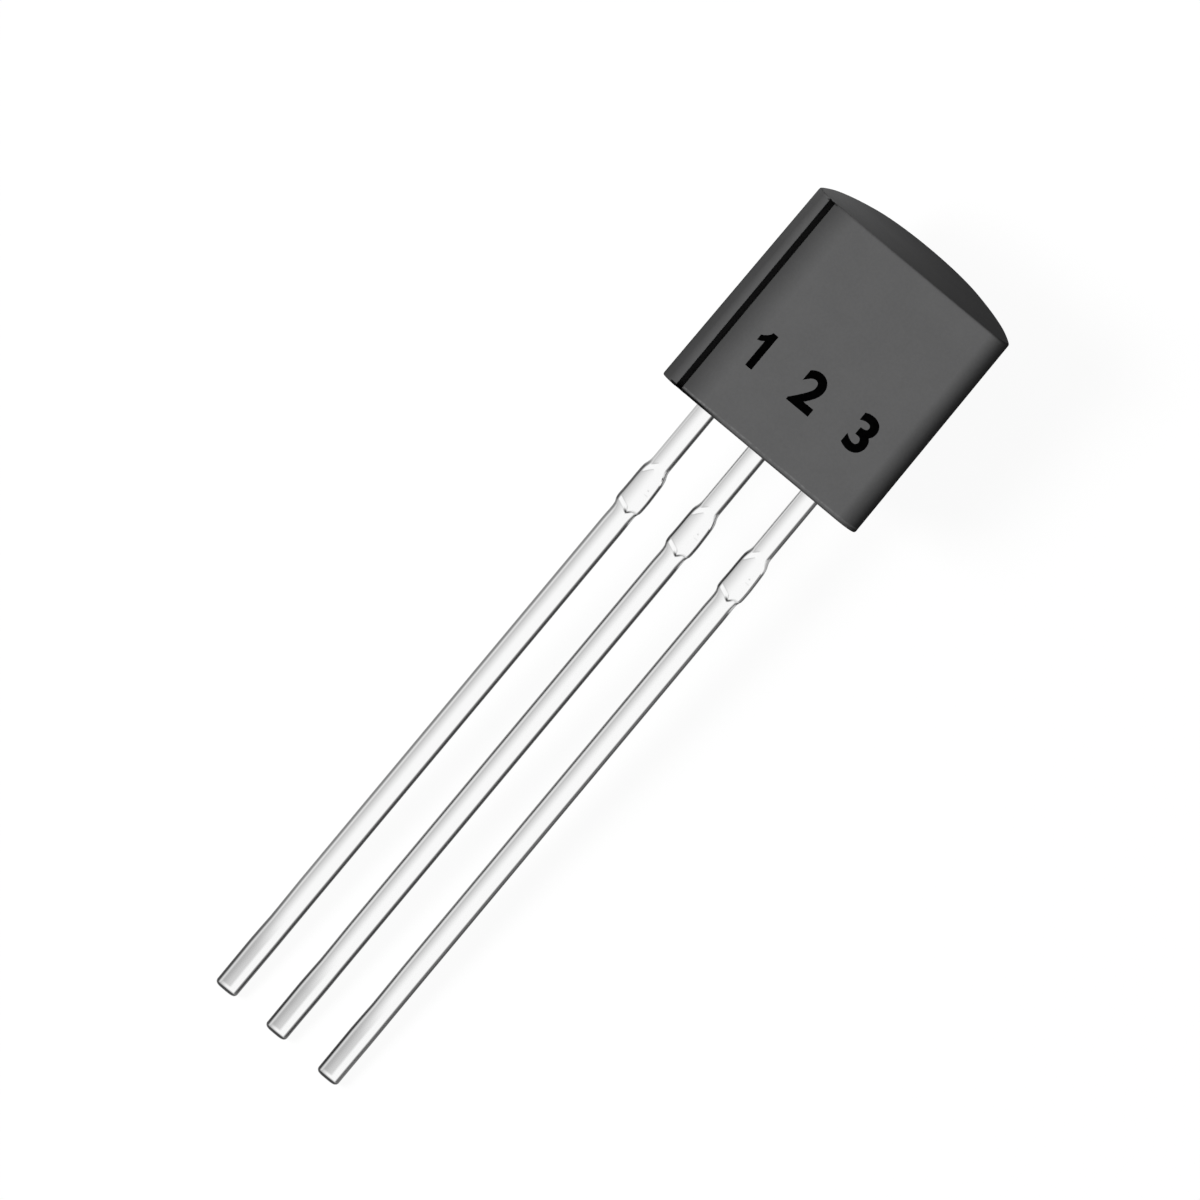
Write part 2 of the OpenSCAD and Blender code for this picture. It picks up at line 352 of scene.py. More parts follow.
def end_painted_shade(p, z):
    """Painted shade on the edges of the two ends: along the lower end's edge and where the groove
    ends.
    """
    at_groove = GROOVE_LEFT - 0.05 < p.x < GROOVE_RIGHT + 0.06 and p.y < GROOVE_FLOOR
    if at_groove and BODY_H - 0.035 < z < BODY_H - 0.01:
        return FLARE_SHADE               # painted shade spreads to both sides where the groove ends
    if z >= END_R * (1.1 if p.x < DARK_X else 0.9):
        return 0.0
    return CORNER_SHADE if p.x < CORNER_X else DARKEST_SHADE if p.x < DARK_X else EDGE_SHADE


def end_share(p, z):
    """How much of the end edges' rounding a point takes: a groove's narrow walls take little."""
    full = 0.45 if z < 0.5 * BODY_H and p.x < GROOVE_LEFT else 1.0
    if p.y > GROOVE_FLOOR + 0.01:
        return full
    beside = max(GROOVE_LEFT - p.x, p.x - GROOVE_RIGHT, 0.0)
    return 0.2 + (full - 0.2) * min(1.0, beside / NARROW)


def web_y(y, z):
    """Where a point of the groove stands: inside a web it keeps almost no depth."""
    deep = y - FLAT_Y - BRINK_D
    return y if deep < 0 or WEB < z < BODY_H - WEB else FLAT_Y + BRINK_D + WEB_SHARE * deep


def side_share(p):
    """How far the draft moves a point: -1 and 1 on the sides, 0 on flat, groove and back."""
    share = min(1.0, max(0.0, (abs(p.x) - 0.44 * BODY_W) / (0.04 * BODY_W)))
    return math.copysign(share, p.x)


shell = bmesh.new()
# One layer holds painted shade, the other a painted highlight.
painted_shade_layer = shell.verts.layers.float.new("painted_shade")
painted_highlight_layer = shell.verts.layers.float.new("painted_highlight")
normals = outline_normals(outline)
rings = []
for z, inset in body_rings(END_R):
    wider = DRAFT * (1 - 2 * z / BODY_H)
    verts = []
    for p, n in zip(outline, normals):
        q = p - n * (inset * end_share(p, z))
        if GROOVE_LEFT - 0.05 < p.x < GROOVE_RIGHT + 0.1 and p.y < GROOVE_FLOOR + 0.01:
            q.y = web_y(q.y, z)
        lean = END_LEAN * min(q.y - FLAT_Y, -FLAT_Y) if z < LEAN_BELOW else 0.0
        vert = shell.verts.new((q.x + wider * side_share(p), q.y, z - lean))
        # This ring carries a painted highlight along the lower edge of the flat and keeps less
        # painted shade.
        on_highlight_line = z == HIGHLIGHT_LEVEL and p.y < FLAT_Y + 0.3 and p.x > GROOVE_RIGHT + 0.02
        kept = 0.0 if inset > END_R else 0.3 if on_highlight_line else 1.0
        vert[painted_shade_layer] = kept * max(side_painted_shade(p), end_painted_shade(p, z))
        vert[painted_highlight_layer] = (1.0 if p.x < -1.2 else 0.6) if on_highlight_line else 0.0
        verts.append(vert)
    rings.append(verts)
for lower, upper in zip(rings, rings[1:]):
    for k in range(len(outline)):
        j = (k + 1) % len(outline)
        shell.faces.new((lower[k], lower[j], upper[j], upper[k]))
shell.faces.new(list(reversed(rings[0])))
shell.faces.new(rings[-1])
bmesh.ops.recalc_face_normals(shell, faces=shell.faces[:])
shell_mesh = as_mesh("epoxy_shell", shell)
for face in shell_mesh.polygons:
    face.use_smooth = abs(face.normal.z) < 0.995
shell_mesh.set_sharp_from_angle(angle=math.radians(38))

pin = bmesh.new()
pin_middle = Matrix.Translation((0, BACK_Y + 0.5 - PIN_DEPTH, PIN_LEVEL))
bmesh.ops.create_cone(pin, cap_ends=True, segments=64, radius1=PIN_R, radius2=PIN_R, depth=1,
                      matrix=pin_middle @ Matrix.Rotation(math.pi / 2, 4, "X"))
body = linked("epoxy_shell", shell_mesh)
pin_object = linked("ejector_pin", as_mesh("ejector_pin", pin))
cut = body.modifiers.new("ejector mark", "BOOLEAN")
cut.object, cut.operation, cut.solver = pin_object, "DIFFERENCE", "EXACT"
marked = settled(body)
for thing in (body, pin_object):
    bpy.data.objects.remove(thing)
body = place("epoxy_shell", marked)
print("body faces:", len(marked.polygons))

# %% [markdown]
# ## The leads
#
# Each lead is stamped from sheet metal and then tinned. Its section follows a rule:
# a slightly crowned front, round long edges and straight sides. Its width follows
# another: neck, shoulder, tie-bar stub, run and tip. That is a case for geometry
# nodes. A spine of points carries the width, the thickness and the edge radius at
# each level, a ring of points carries headings, and the tree sweeps one along the
# other. The stub's raised face, with its blunt top and sheared point, is lifted in
# the same tree between two bent lines.

# %% Stations along a lead
EDGE_R, STUB_EDGE_R, HEAD_EDGE_R = 0.13, 0.085, 0.03
FLARE = 0.3                             # over this length a neck widens to its head
NECK = (0.229, 0.191)                   # left and right of the lead's middle
STUB = [                                # level, left half and right half, downwards
    (-1.20, *NECK), (-1.49, *NECK), (-1.54, 0.231, 0.192), (-1.59, 0.237, 0.198),
    (-1.63, 0.247, 0.208), (-1.67, 0.259, 0.223), (-1.71, 0.272, 0.240), (-1.75, 0.279, 0.252),
    (-1.82, 0.284, 0.264), (-1.95, 0.286, 0.273), (-2.10, 0.285, 0.280), (-2.25, 0.286, 0.285),
    (-2.36, 0.288, 0.284), (-2.44, 0.291, 0.281), (-2.50, 0.286, 0.274), (-2.54, 0.278, 0.256),
    (-2.58, 0.261, 0.243), (-2.62, 0.246, 0.239), (-2.70, 0.237, 0.238), (-2.80, 0.238, 0.239),
    (-3.00, LEAD_W / 2, LEAD_W / 2), (-8.00, LEAD_W / 2, LEAD_W / 2), (-12.00, LEAD_W / 2, 0.245),
    (-12.60, 0.237, 0.246), (-12.90, 0.235, 0.247), (-13.20, 0.243, 0.249), (-13.50, 0.249, 0.249),
    (-14.10, 0.247, 0.246),
]
SHARP_FROM, SHARP_TO, SHARP_OVER = -1.55, -2.75, 0.2    # where the stub's edges are sharper
TIP_STEPS = 8


def stations(head_w, head_bottom, head_h, head_shift):
    """Level, left half, right half, thickness and edge radius down one lead."""
    left, right = head_w / 2 - head_shift, head_w / 2 + head_shift
    cut = HEAD_EDGE_R
    top = head_bottom + head_h
    rows = [
        (top, left - cut, right - cut, LEAD_T - 2 * cut, HEAD_EDGE_R),
        (top - cut, left, right, LEAD_T, HEAD_EDGE_R),
        (head_bottom, left, right, LEAD_T, HEAD_EDGE_R),
        (head_bottom - FLARE, *NECK, LEAD_T, 0.08),
        (head_bottom - FLARE - 0.2, *NECK, LEAD_T, EDGE_R),
        (-0.6, *NECK, LEAD_T, EDGE_R),
    ]
    for level, left, right in STUB:
        into = min(SHARP_FROM - level, level - SHARP_TO) / SHARP_OVER
        sharper = max(0.0, min(1.0, into))
        rows.append((level, left, right, LEAD_T, EDGE_R + sharper * (STUB_EDGE_R - EDGE_R)))
    for k in range(TIP_STEPS + 1):
        t = math.pi / 2 * k / TIP_STEPS
        inset = TIP_R * (1 - math.cos(t))
        rows.append((-LEAD_LEN + TIP_R * (1 - math.sin(t)), TIP_W / 2 - inset,
                     TIP_W / 2 - inset, LEAD_T - 2 * inset, EDGE_R - 0.5 * inset))
    return rows


def filled_in(rows):
    """Adds rows between stations: close together on the stub and tip, wide apart elsewhere."""
    full = [rows[0]]
    for a, b in zip(rows, rows[1:]):
        pitch = 0.02 if -2.9 < a[0] < -1.4 or a[0] < -14.0 else 0.5
        parts = max(1, math.ceil((a[0] - b[0]) / pitch))
        for k in range(1, parts + 1):
            full.append(tuple(u + (v - u) * k / parts for u, v in zip(a, b)))
    return full


def carry(mesh, keys, rows):
    """Stores each column of the rows on the mesh's points, under its name."""
    for column, key in enumerate(keys):
        layer = mesh.attributes.new(key, "FLOAT", "POINT")
        layer.data.foreach_set("value", [row[column] for row in rows])


def spine(name, rows, drop):
    """A line of points that carries the sizes; the stub and all below it sit drop lower."""
    mesh = bpy.data.meshes.new(name)
    spots = [(0, 0, row[0] - drop * min(1, max(0, (-1.0 - row[0]) / 0.4))) for row in rows]
    mesh.from_pydata(spots, [(k, k + 1) for k in range(len(rows) - 1)], [])
    carry(mesh, ("level", "left", "right", "thick", "edge"), rows)
    return linked(name, mesh)


CROWN = math.radians(9)
headings = [-math.pi / 2 + (math.pi / 2 - CROWN) * k / 16 for k in range(16)]
headings += [-CROWN + 2 * CROWN * k / 24 for k in range(25)]
headings += [CROWN + (math.pi / 2 - CROWN) * k / 16 for k in range(1, 17)]


def section_ring():
    """A closed ring of points; each knows its heading and whether it is front or back."""
    turns = [(t, 1.0) for t in headings] + [(t, -1.0) for t in reversed(headings)]
    mesh = bpy.data.meshes.new("section_ring")
    mesh.from_pydata([(math.sin(t), side * (0.1 + math.cos(t)), 0) for t, side in turns],
                     [(k, (k + 1) % len(turns)) for k in range(len(turns))], [])
    carry(mesh, ("heading", "face"), turns)
    return linked("section_ring", mesh)


print("points round a section:", 2 * len(headings))

# %% [markdown]
# In the tree, a point with a small heading lies on the crowned face and any other on
# the round edge. Both are plain circle arcs, so the sine and cosine of the heading
# place it. The front of a lead looks to negative Y in the upright frame.
#
# A number goes with each vertex and darkens the tin. Along the long sides it is a
# painted reflection, the dark lines where round edges would mirror a dark surround. In
# the small wedge where the tie bar was torn off at the point it is a painted shadow, and
# near the tips a grey band is a painted reflection of a grey card. It also darkens the
# cut end and a few light marks.

# %% The tree that sweeps a lead
STUB_FACE = {
    "Crown": CROWN, "Raise": 0.04,
    "Peak X": -0.066, "Peak Level": -1.50, "Left Fall": 0.9, "Right Fall": 0.35,
    "Point X": 0.05, "Point Level": -2.65, "Left Rise": 0.40, "Right Rise": 1.0,
}
PEAK_REACH = 0.142                      # to the left of the peak the fall goes no further


def raised_face(size, level, x):
    """How far up the stub's face is at a point, and the level of its lower line there.

    The upper line falls from a peak. The lower one rises from a point, gently to the
    left and abruptly to the right.
    """
    to_left = (size["Peak X"] - x).between(0.0, PEAK_REACH)
    to_right = (x - size["Peak X"]).math("MAXIMUM", 0.0)
    top = size["Peak Level"] - to_left * (to_left * 2.0 + size["Left Fall"])
    top = top - to_right * (to_right + size["Right Fall"])
    off_left = (size["Point X"] - x).math("MAXIMUM", 0.0)
    off_right = (x - size["Point X"]).math("MAXIMUM", 0.0)
    low = size["Point Level"] + off_left * size["Left Rise"]
    low = low + (off_right * size["Right Rise"]).math("MINIMUM", off_right * 0.1 + 0.08)
    gentle = x.step(-0.02, 0.06, 0.13, 0.03)
    return (top - level).step(0.0, 0.16) * (level - low).step(0.0, gentle), low


def mark(x, level, middle, reach, strength):
    """A small oval mark; middle and reach are an X and a level each."""
    across, along = (x - middle[0]) / reach[0], (level - middle[1]) / reach[1]
    return (across * across + along * along).step(0.2, 1.0, strength, 0.0)


def tin_marks_and_shade(level, x, half, across, steep, on_neck, low):
    """How dark the tin is at a point: painted reflection and painted shadow, cut end and marks."""
    down = level * -1
    on_stub = level.step(-2.58, -2.50) * level.step(-1.74, -1.60, 1.0, 0.0)
    shoulder = level.step(-1.84, -1.74) * level.step(-1.54, -1.47, 1.0, 0.0)
    below = level.step(-2.86, -2.72) * level.step(-2.62, -2.56, 1.0, 0.0)
    to_tip = level.step(-14.3, -11.5, 1.0, 0.0)
    round_edge = steep.step(1.1, 1.5, 1.0, 0.0)
    from_left, from_right = half + across, half - across

    # A margin of painted reflection on each long side: how wide, how soft and how strong.
    left_margin = 0.050 + to_tip * 0.008 + on_stub * 0.004 - on_neck * 0.015
    left_strength = 0.82 + to_tip * 0.18 + on_stub * 0.15 - on_neck * round_edge * 0.33
    left_painted_reflection = ((left_margin - from_left) / 0.03 + 0.5).between(0.0, 1.0) * left_strength
    right_margin = 0.053 + to_tip * 0.007 - on_stub * 0.016
    right_soft = 0.05 - on_stub * 0.03
    right_painted_reflection = ((right_margin - from_right) / right_soft + 0.5).between(0.0, 1.0)
    right_painted_reflection = right_painted_reflection * (1.0 - to_tip * 0.1)
    right_painted_reflection = right_painted_reflection * (1.0 - (shoulder * 0.4 + below * 0.5) * round_edge)

    cut_end = down.step(LEAD_LEN - 0.085, LEAD_LEN - 0.055)
    # Painted shadow in the small wedge under the stub's sheared point.
    painted_burr_shadow = (level - low).step(-0.012, 0.006) * (level - low).step(0.03, 0.07, 1.0, 0.0)
    painted_burr_shadow = painted_burr_shadow * x.step(-0.06, 0.03) * x.step(0.07, 0.14, 1.0, 0.28)
    # Painted reflection of a grey card: a grey band on the face near the tips.
    painted_band_reflection = level.step(-13.7, -12.6, 1.0, 0.0)
    painted_band_reflection = painted_band_reflection * down.step(LEAD_LEN - 0.15, LEAD_LEN - 0.11, 1.0, 0.0)
    painted_band_reflection = painted_band_reflection * from_left.step(0.09, 0.12) * from_left.step(0.26, 0.32, 0.33, 0.0)
    rub = mark(x, level, (0.135, -2.135), (0.055, 0.018), 0.15)
    nick = mark(x, level, (0.115, -2.04), (0.02, 0.02), 0.38)

    dark_tin_mask = left_painted_reflection
    for other in (right_painted_reflection, cut_end, painted_burr_shadow, painted_band_reflection, rub, nick):
        dark_tin_mask = dark_tin_mask.math("MAXIMUM", other)
    return dark_tin_mask


def lead_tree(ring, finish):
    """The tree: a spine goes in, a dressed lead comes out."""
    tree = bpy.data.node_groups.new("swept lead", "GeometryNodeTree")
    face = tree.interface
    face.new_socket("Geometry", in_out="INPUT", socket_type="NodeSocketGeometry")
    for name, value in STUB_FACE.items():
        socket = face.new_socket(name, in_out="INPUT", socket_type="NodeSocketFloat")
        socket.default_value = value
    face.new_socket("Geometry", in_out="OUTPUT", socket_type="NodeSocketGeometry")
    start, end = tree.nodes.new("NodeGroupInput"), tree.nodes.new("NodeGroupOutput")
    size = {name: Sum(tree, start.outputs[name]) for name in STUB_FACE}

    def stored(name):
        made = add_node(tree, "GeometryNodeInputNamedAttribute", {"data_type": "FLOAT"}, Name=name)
        return Sum(tree, made.outputs["Attribute"])

    level, left, right, thick, edge, turn, side = (
        stored(key) for key in ("level", "left", "right", "thick", "edge", "heading", "face"))
    position = add_node(tree, "GeometryNodeInputPosition")
    parts = add_node(tree, "ShaderNodeSeparateXYZ", Vector=position.outputs[0])
    z = Sum(tree, parts.outputs["Z"])

    hand = turn.math("SIGN")                                # -1 left, +1 right
    steep = turn.math("ABSOLUTE")
    on_neck = level.step(-1.64, -1.50)
    outside = level.step(0.0, 0.6, 1.0, 0.0)
    edge = edge * (1.0 - on_neck * outside * (0.5 - hand * 0.5) * 0.4)  # sharper left of a neck
    half = (left + right) / 2
    crown_r = (half - edge) / size["Crown"].math("SINE") + edge
    on_edge = steep.math("GREATER_THAN", size["Crown"] + 0.0001)
    crown_x = crown_r * steep.math("SINE")
    edge_x = half - edge + edge * steep.math("SINE")
    crown_y = thick / 2 - crown_r * (1 - steep.math("COSINE"))
    edge_y = (thick / 2 - crown_r * (1 - size["Crown"].math("COSINE"))
              - edge * size["Crown"].math("COSINE") + edge * steep.math("COSINE"))
    across = hand * (crown_x + on_edge * (edge_x - crown_x))
    x = (right - left) / 2 + across
    lifted, low = raised_face(size, level, x)
    facing = steep.math("COSINE")
    y = side * (crown_y + on_edge * (edge_y - crown_y) + size["Raise"] * lifted * facing)

    ring_in = add_node(tree, "GeometryNodeObjectInfo", {"transform_space": "ORIGINAL"},
                       Object=ring)
    rail = add_node(tree, "GeometryNodeMeshToCurve", Mesh=start.outputs["Geometry"])
    loop = add_node(tree, "GeometryNodeMeshToCurve", Mesh=ring_in.outputs["Geometry"])
    sweep = add_node(tree, "GeometryNodeCurveToMesh", Curve=rail.outputs["Curve"],
                     Profile_Curve=loop.outputs["Curve"], Fill_Caps=True)
    spot = add_node(tree, "ShaderNodeCombineXYZ", X=x, Y=y * -1, Z=z)
    moved = add_node(tree, "GeometryNodeSetPosition", Geometry=sweep.outputs["Mesh"],
                     Position=spot.outputs["Vector"])
    # Darker tin: painted reflection and painted shadow, with the darker cut end and a few light
    # marks.
    dark_tin_mask = tin_marks_and_shade(level, x, half, across, steep, on_neck, low)
    kept = add_node(tree, "GeometryNodeStoreNamedAttribute",
                    {"data_type": "FLOAT", "domain": "POINT"},
                    Geometry=moved.outputs["Geometry"], Name="sheared", Value=dark_tin_mask)
    plain = add_node(tree, "GeometryNodeRealizeInstances", Geometry=kept.outputs["Geometry"])
    dressed = add_node(tree, "GeometryNodeSetMaterial", Geometry=plain.outputs["Geometry"],
                       Material=finish)
    tree.links.new(dressed.outputs["Geometry"], end.inputs["Geometry"])
    return tree


# %% [markdown]
# ## Grain, shared by several finishes
#
# Moulded epoxy, printed ink and tinned metal all carry fine unevenness, at different
# scales. One shader group makes it from noise in Object coordinates: a height for the
# Bump node and a mask that stains the colour. Each material places it with its own
# scale and stretch.

# %% Grain group
def grain_group():
    group = bpy.data.node_groups.new("fine grain", "ShaderNodeTree")
    face = group.interface
    for name, kind, value in (
        ("Fine Scale", "NodeSocketFloat", 9000.0),
        ("Broad Scale", "NodeSocketFloat", 900.0),
        ("Stretch", "NodeSocketVector", (1.0, 1.0, 1.0)),
    ):
        face.new_socket(name, in_out="INPUT", socket_type=kind).default_value = value
    for name in ("Height", "Stain", "Broad"):
        face.new_socket(name, in_out="OUTPUT", socket_type="NodeSocketFloat")
    start, end = group.nodes.new("NodeGroupInput"), group.nodes.new("NodeGroupOutput")
    where = group.nodes.new("ShaderNodeTexCoord")
    stretched = add_node(group, "ShaderNodeVectorMath", {"operation": "MULTIPLY"})
    group.links.new(where.outputs["Object"], stretched.inputs[0])
    group.links.new(start.outputs["Stretch"], stretched.inputs[1])

    def noise(scale, detail, roughness):
        made = add_node(group, "ShaderNodeTexNoise", Vector=stretched.outputs[0],
                        Scale=start.outputs[scale], Detail=detail, Roughness=roughness)
        return Sum(group, made.outputs["Fac"])

    fine, broad = noise("Fine Scale", 3.0, 0.6), noise("Broad Scale", 4.0, 0.55)
    results = {"Height": fine + broad * 0.6, "Stain": fine * 0.5 + broad * 0.5, "Broad": broad}
    for name, value in results.items():
        group.links.new(value.socket, end.inputs[name])
    return group


GRAIN = grain_group()


def new_finish(name, **constants):
    """A material; constants are set on the shader itself."""
    finish = bpy.data.materials.new(name)
    finish.use_nodes = True
    tree = finish.node_tree
    shader = tree.nodes["Principled BSDF"]
    for key, value in constants.items():
        shader.inputs[key.replace("_", " ")].default_value = value
    return finish, tree, shader


def place_grain(tree, fine, broad, stretch=(1.0, 1.0, 1.0)):
    """The grain group at a material's own scales; gives its outputs by name."""
    made = tree.nodes.new("ShaderNodeGroup")
    made.node_tree = GRAIN
    made.inputs["Fine Scale"].default_value = fine
    made.inputs["Broad Scale"].default_value = broad
    made.inputs["Stretch"].default_value = stretch
    return {key: Sum(tree, made.outputs[key]) for key in ("Height", "Stain", "Broad")}


def carried(tree, name):
    """A number that the mesh carries on its points."""
    made = add_node(tree, "ShaderNodeAttribute", {"attribute_name": name})
    return Sum(tree, made.outputs["Fac"])


def mixed(tree, mask, low, high):
    """A colour between low and high by a mask; low may come from another mix."""
    made = add_node(tree, "ShaderNodeMix", {"data_type": "RGBA"})
    factor, first, second = made.inputs[0], made.inputs[6], made.inputs[7]
    tree.links.new(mask.socket, factor)
    if isinstance(low, bpy.types.NodeSocket):
        tree.links.new(low, first)
    else:
        first.default_value = (*low, 1)
    second.default_value = (*high, 1)
    return made.outputs[2]


def surface(tree, shader, colour, roughness, height=None, depth=0.0, strength=0.0):
    """Wires colour, roughness and, where there is one, a bump."""
    tree.links.new(colour, shader.inputs["Base Color"])
    tree.links.new(roughness.socket, shader.inputs["Roughness"])
    if height:
        made = add_node(tree, "ShaderNodeBump", Strength=strength, Distance=depth, Height=height)
        tree.links.new(made.outputs["Normal"], shader.inputs["Normal"])


# %% [markdown]
# ## Epoxy, ink, tin, silicon and gold
#
# Epoxy for chips is filled with silica powder and leaves a spark-eroded mould, so it
# is a matt dark grey with an even, very fine grain. Painted shade darkens its groove,
# lip and round edges, and a painted highlight lies along the lower edge of the flat.
# Ink is the same surface painted black. Tin is bright on the flat faces; dark lines
# painted along the sides stand for the reflection of a dark surround, bolder towards
# the tips. The chip and its wires are inside the body, but they get their own
# finishes all the same.

# %% Epoxy and ink
epoxy, tree, shader = new_finish("moulded_epoxy", Specular_IOR_Level=0.0)
grain = place_grain(tree, 16000.0, 1500.0)
# Painted shade darkens the groove, lip and edges, and a painted highlight lightens the lower edge
# of the flat.
painted_shade_mask = carried(tree, "painted_shade")
painted_highlight_mask = (carried(tree, "painted_highlight") * grain["Stain"].step(0.4, 0.6, 0.15, 1.5)).math("MINIMUM", 1.0)
tone = mixed(tree, grain["Stain"].step(0.3, 0.7), (0.112, 0.112, 0.113), (0.122, 0.122, 0.123))
tone = mixed(tree, painted_highlight_mask, tone, (0.19, 0.19, 0.192))
tone = mixed(tree, painted_shade_mask, tone, (0.004, 0.004, 0.004))
surface(tree, shader, tone, grain["Broad"].step(0.2, 0.8, 0.62, 0.68) + painted_shade_mask * 0.2,
        grain["Height"], 0.000006, 0.5)

ink, tree, shader = new_finish("marking_ink", Specular_IOR_Level=0.0)
grain = place_grain(tree, 16000.0, 2500.0)
tone = mixed(tree, grain["Stain"].step(0.35, 0.75), (0.0006, 0.0006, 0.0006),
             (0.0018, 0.0018, 0.0018))
surface(tree, shader, tone, grain["Broad"].step(0.2, 0.8, 0.7, 0.8),
        grain["Height"], 0.000004, 0.4)

# %% Tin for the leads
tin, tree, shader = new_finish("tinned_lead", Metallic=1.0)
grain = place_grain(tree, 9000.0, 1200.0, (1.0, 0.08, 1.0))
# The darker tin is painted reflection along the sides and painted shadow at the stub's point,
# besides the cut end and a few marks.
dark_tin_mask = carried(tree, "sheared")
dark_tin_mask = (dark_tin_mask + dark_tin_mask * grain["Broad"] * 0.12 - dark_tin_mask * 0.06).math("MINIMUM", 1.0)
tone = mixed(tree, dark_tin_mask, (0.95, 0.95, 0.95), (0.05, 0.05, 0.051))
surface(tree, shader, tone, grain["Stain"].step(0.3, 0.7, 0.09, 0.13) + dark_tin_mask * 0.2,
        grain["Height"], 0.000002, 0.15)

# %% Silicon and gold, inside the body
silicon, tree, shader = new_finish("silicon", Metallic=0.3, Specular_IOR_Level=0.6)
grain = place_grain(tree, 12000.0, 3000.0)
tone = mixed(tree, grain["Stain"], (0.06, 0.08, 0.13), (0.10, 0.12, 0.18))
surface(tree, shader, tone, grain["Broad"].step(0.2, 0.8, 0.18, 0.3))

gold, tree, shader = new_finish("gold_wire", Metallic=1.0)
grain = place_grain(tree, 30000.0, 8000.0)
tone = mixed(tree, grain["Stain"], (0.78, 0.50, 0.13), (0.95, 0.66, 0.24))
surface(tree, shader, tone, grain["Broad"].step(0.2, 0.8, 0.2, 0.3))

inner = {"silicon_die": silicon, "emitter_bond_wire": gold, "base_bond_wire": gold}
for node, finish in inner.items():
    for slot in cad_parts[node].material_slots:
        slot.material = finish
print("finishes:", ", ".join(m.name for m in (epoxy, ink, tin, silicon, gold)))

# %% [markdown]
# ## Three leads from one tree
#
# The outer leads end in bond posts that stand a little outwards, and the middle one
# ends in the pad under the chip. The tree is the same for all three. Its result is
# turned to a plain mesh and laid down beside its neighbours, each a hair off its
# place, as leads are.

# %% Make the leads
PAD = dict(head_w=1.3, head_bottom=1.9, head_h=1.5)
POST = dict(head_w=0.72, head_bottom=2.25, head_h=0.8)
POST_SHIFT = 0.1
EMITTER_X, COLLECTOR_X, BASE_X = 0.0085 - LEAD_PITCH, -0.014, 0.007 + LEAD_PITCH
ring = section_ring()
sweep_tree = lead_tree(ring, tin)


def make_lead(name, x, head, shift):
    rows = filled_in(stations(**head, head_shift=shift))
    base = spine(name, rows, FRAME_STEP * x / LEAD_PITCH)
    base.modifiers.new("sweep", "NODES").node_group = sweep_tree
    mesh = settled(base)
    bpy.data.objects.remove(base)
    swept = bmesh.new()
    swept.from_mesh(mesh)
    if swept.calc_volume(signed=True) < 0:
        bmesh.ops.reverse_faces(swept, faces=swept.faces[:])
    swept.to_mesh(mesh)
    swept.free()
    for polygon in mesh.polygons:
        polygon.use_smooth = True
    mesh.set_sharp_from_angle(angle=math.radians(50))
    mesh.transform(Matrix.Translation((x, 0, 0)))
    return place(name, mesh)


leads = {
    "emitter_lead": make_lead("tinned_emitter_lead", EMITTER_X, POST, -POST_SHIFT),
    "collector_lead": make_lead("tinned_collector_lead", COLLECTOR_X, PAD, 0),
    "base_lead": make_lead("tinned_base_lead", BASE_X, POST, POST_SHIFT),
}
bpy.data.objects.remove(ring)
print("faces a lead:", [len(piece.data.polygons) for piece in leads.values()])

# %% [markdown]
# ## Pin numbers
#
# Such a body carries black print on its flat. Here it says only which lead is which:
# 1, 2 and 3, one above each lead. Text objects with a positive offset give the bold
# 2 and 3. Their font draws a 1 as a plain bar, so the 1 is an outline with a flag.

# %% Print
FIGURE_H, FIGURE_FOOT = 0.81, 1.17
INK_T = 0.004
BOLD = 0.032
ONE = [(0.0, 0.0), (0.185, 0.0), (0.185, 1.0), (0.04, 1.0), (0.015, 0.935), (-0.035, 0.875),
       (-0.1, 0.82), (-0.165, 0.79), (-0.165, 0.635), (-0.07, 0.67), (0.0, 0.72)]


def drawn(text):
    """A flat mesh of one figure, of any size, with its foot anywhere."""
    if text == "1":
        mesh = bpy.data.meshes.new("figure")
        mesh.from_pydata([(x, y, 0) for x, y in ONE], [], [range(len(ONE))])
        return mesh
    curve = bpy.data.curves.new("figure", "FONT")
    curve.body, curve.align_x = text, "CENTER"
    curve.offset, curve.resolution_u = BOLD, 8
    thing = linked("figure", curve)
    mesh = settled(thing)
    bpy.data.objects.remove(thing)
    return mesh


def figure(text, x, z):
    """The figure at its size, with its foot at the height z on the flat."""
    mesh = drawn(text)
    low = min(v.co.y for v in mesh.vertices)
    scale = FIGURE_H / (max(v.co.y for v in mesh.vertices) - low)
    on_flat = Matrix.Translation((x, FLAT_Y - INK_T, z)) @ Matrix.Rotation(math.pi / 2, 4, "X")
    mesh.transform(on_flat @ Matrix.Scale(scale, 4) @ Matrix.Translation((0, -low, 0)))
    return mesh


print_shape = bmesh.new()
for text, x in (("1", -LEAD_PITCH), ("2", 0), ("3", LEAD_PITCH)):
    print_shape.from_mesh(figure(text, x, FIGURE_FOOT))
bmesh.ops.triangulate(print_shape, faces=print_shape.faces[:])
marking = place("pin_numbers", as_mesh("pin_numbers", print_shape))
print("print faces:", len(marking.data.polygons))

# %% [markdown]
# ## Give each piece its finish and hide the nodes it replaces

# %% Tie the pieces to the frame
def dress(piece, finish, slot, *nodes):
    piece.data.materials.clear()
    piece.data.materials.append(finish)
    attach(piece, "root")
    if nodes:
        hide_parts(*nodes)


dress(body, epoxy, "epoxy", "epoxy_body")
dress(marking, ink, "epoxy")
for node, piece in leads.items():
    dress(piece, tin, "tinned_lead", node)

# %% [markdown]
# ## Floor and light
#
# The floor is white to the eye and keeps a soft shadow. What metal mirrors is a white
# sky with a grey card on the left and a black one low on the right, and none towards
# the closed end. One broad lamp from the left lights the body, and a tiny one beyond
# its closed end gives the end face its fall from left to right.

